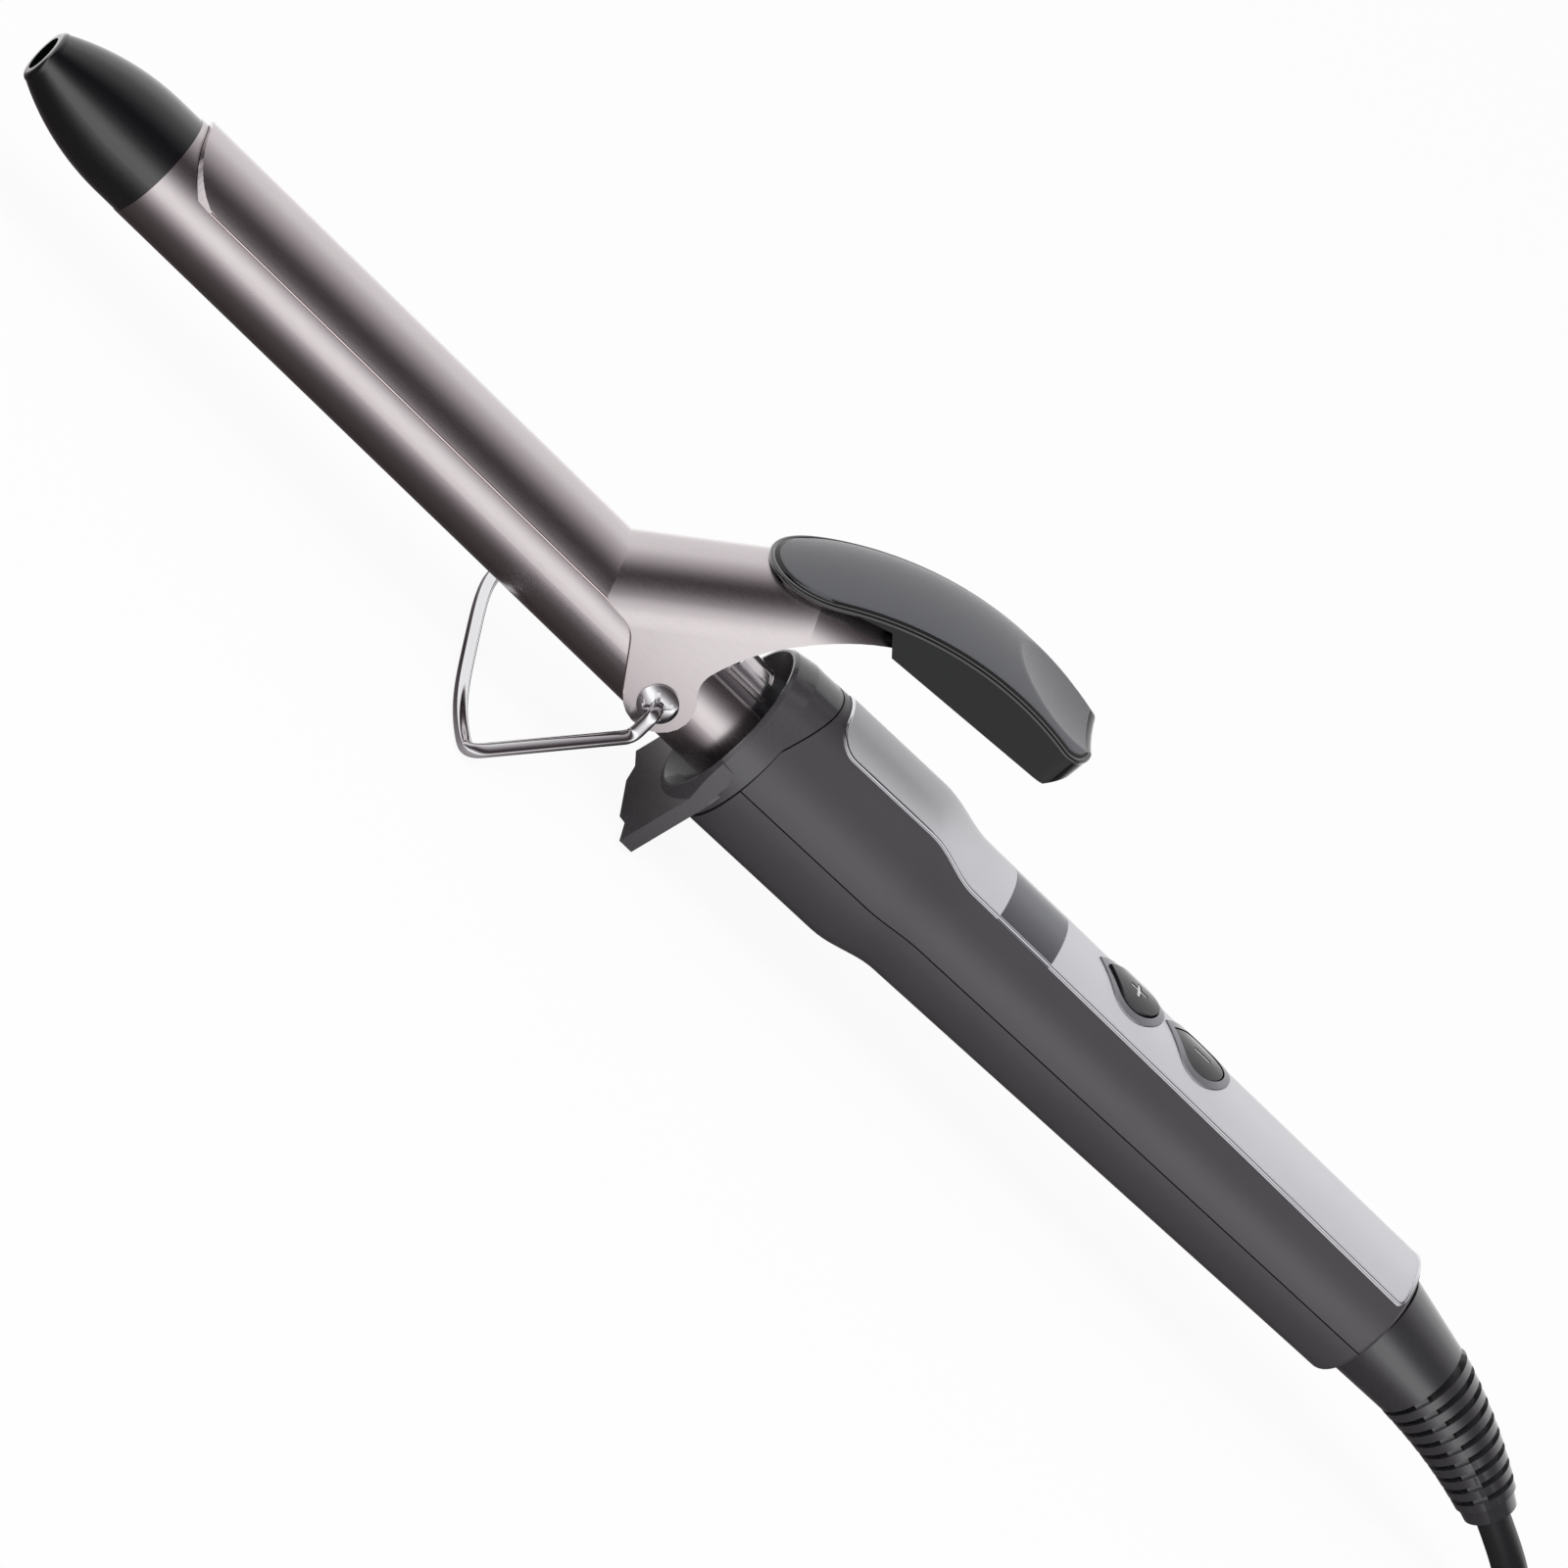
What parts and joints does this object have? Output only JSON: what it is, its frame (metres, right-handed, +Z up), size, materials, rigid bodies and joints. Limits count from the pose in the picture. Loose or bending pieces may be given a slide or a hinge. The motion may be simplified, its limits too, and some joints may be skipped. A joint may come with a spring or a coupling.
{
  "type": "curling iron",
  "caption": "Curling iron with a round heated barrel, a sprung clamp with a thumb rest, a folding wire stand and a silver control strip on a dark handle.",
  "frame": {"origin": "middle of the table line under the barrel's axis, on the flat bottom of the guard foot", "axes": "+X along the barrel and handle to the cord, -X to the cool tip, +Z up from the table, +Y across"},
  "size_m": [0.4431, 0.0963, 0.0641],
  "materials": {
    "barrel_titanium": "satin titanium coating",
    "clamp_titanium": "satin titanium coating",
    "tip_plastic": "gloss black heat-proof plastic",
    "thumb_plastic": "satin top, gloss sides",
    "cast_aluminium": "cast",
    "ceramic": "ceramic heater",
    "probe_brass": "plain",
    "lead_sleeve": "silicone sleeve",
    "plain_steel": "zinc plated",
    "bright_chrome": "polished",
    "bush_plastic": "heat-proof",
    "guard_plastic": "satin dark grey",
    "spring_steel": "bright spring steel",
    "handle_plastic": "satin dark grey",
    "silver_lacquer": "metallic silver lacquer",
    "smoked_window": "smoked clear plastic",
    "display_panel": "display",
    "bezel_plastic": "gloss",
    "button_plastic": "gloss",
    "board_laminate": "circuit board",
    "switch_plastic": "plain",
    "wire_sleeve": "plain",
    "relief_rubber": "satin rubber",
    "cord_rubber": "satin rubber",
    "plug_rubber": "satin rubber",
    "pin_nickel": "nickel plated brass"
  },
  "bodies": {
    "iron": {"barrel_tube": "barrel_titanium", "tip_cap": "tip_plastic", "heater_block": "cast_aluminium", "heater_plate": "ceramic", "temperature_probe": "probe_brass", "heater_leads": "lead_sleeve", "pivot_block": "plain_steel", "pivot_screws": "bright_chrome", "barrel_bush": "bush_plastic", "collar_guard": "guard_plastic", "spring_saddle": "spring_steel", "clamp_spring": "spring_steel", "handle_upper": "handle_plastic", "handle_lower": "handle_plastic", "case_screws": "plain_steel", "control_strip": "silver_lacquer", "window_glass": "smoked_window", "display_module": "display_panel", "plus_bezel": "bezel_plastic", "minus_bezel": "bezel_plastic", "circuit_board": "board_laminate", "button_switches": "switch_plastic", "mains_wires": "wire_sleeve", "strain_relief": "relief_rubber", "cord_lead": "cord_rubber", "cord_coil": "cord_rubber", "cord_tail": "cord_rubber", "cord_tie": "cord_rubber", "plug_body": "plug_rubber", "plug_pins": "pin_nickel"},
    "clamp": {"clamp_lever": "clamp_titanium", "thumb_rest": "thumb_plastic", "thumb_screw": "plain_steel"},
    "stand": {"stand_wire": "bright_chrome"},
    "plus_key": {"plus_button": "button_plastic"},
    "minus_key": {"minus_button": "button_plastic"}
  },
  "joints": [
    {"name": "clamp_hinge", "type": "hinge", "parent": "iron", "child": "clamp", "pos_m": [-0.0128, 0, 0.0198], "axis": [0, 1, 0], "range_deg": [0, 16], "stiffness_Nm_per_rad": 0.6, "springref_deg": -22.92, "deforming": ["clamp_spring"]},
    {"name": "stand_hinge", "type": "hinge", "parent": "iron", "child": "stand", "pos_m": [-0.0128, 0, 0.0198], "axis": [0, 1, 0], "range_deg": [-110, 0]},
    {"name": "plus_press", "type": "slide", "parent": "iron", "child": "plus_key", "axis": [0.0209, 0, -0.9998], "range_m": [0, 0.0008], "stiffness_N_per_m": 1500, "springref_m": -0.0005},
    {"name": "minus_press", "type": "slide", "parent": "iron", "child": "minus_key", "axis": [0.0209, 0, -0.9998], "range_m": [0, 0.0008], "stiffness_N_per_m": 1500, "springref_m": -0.0005}
  ]
}
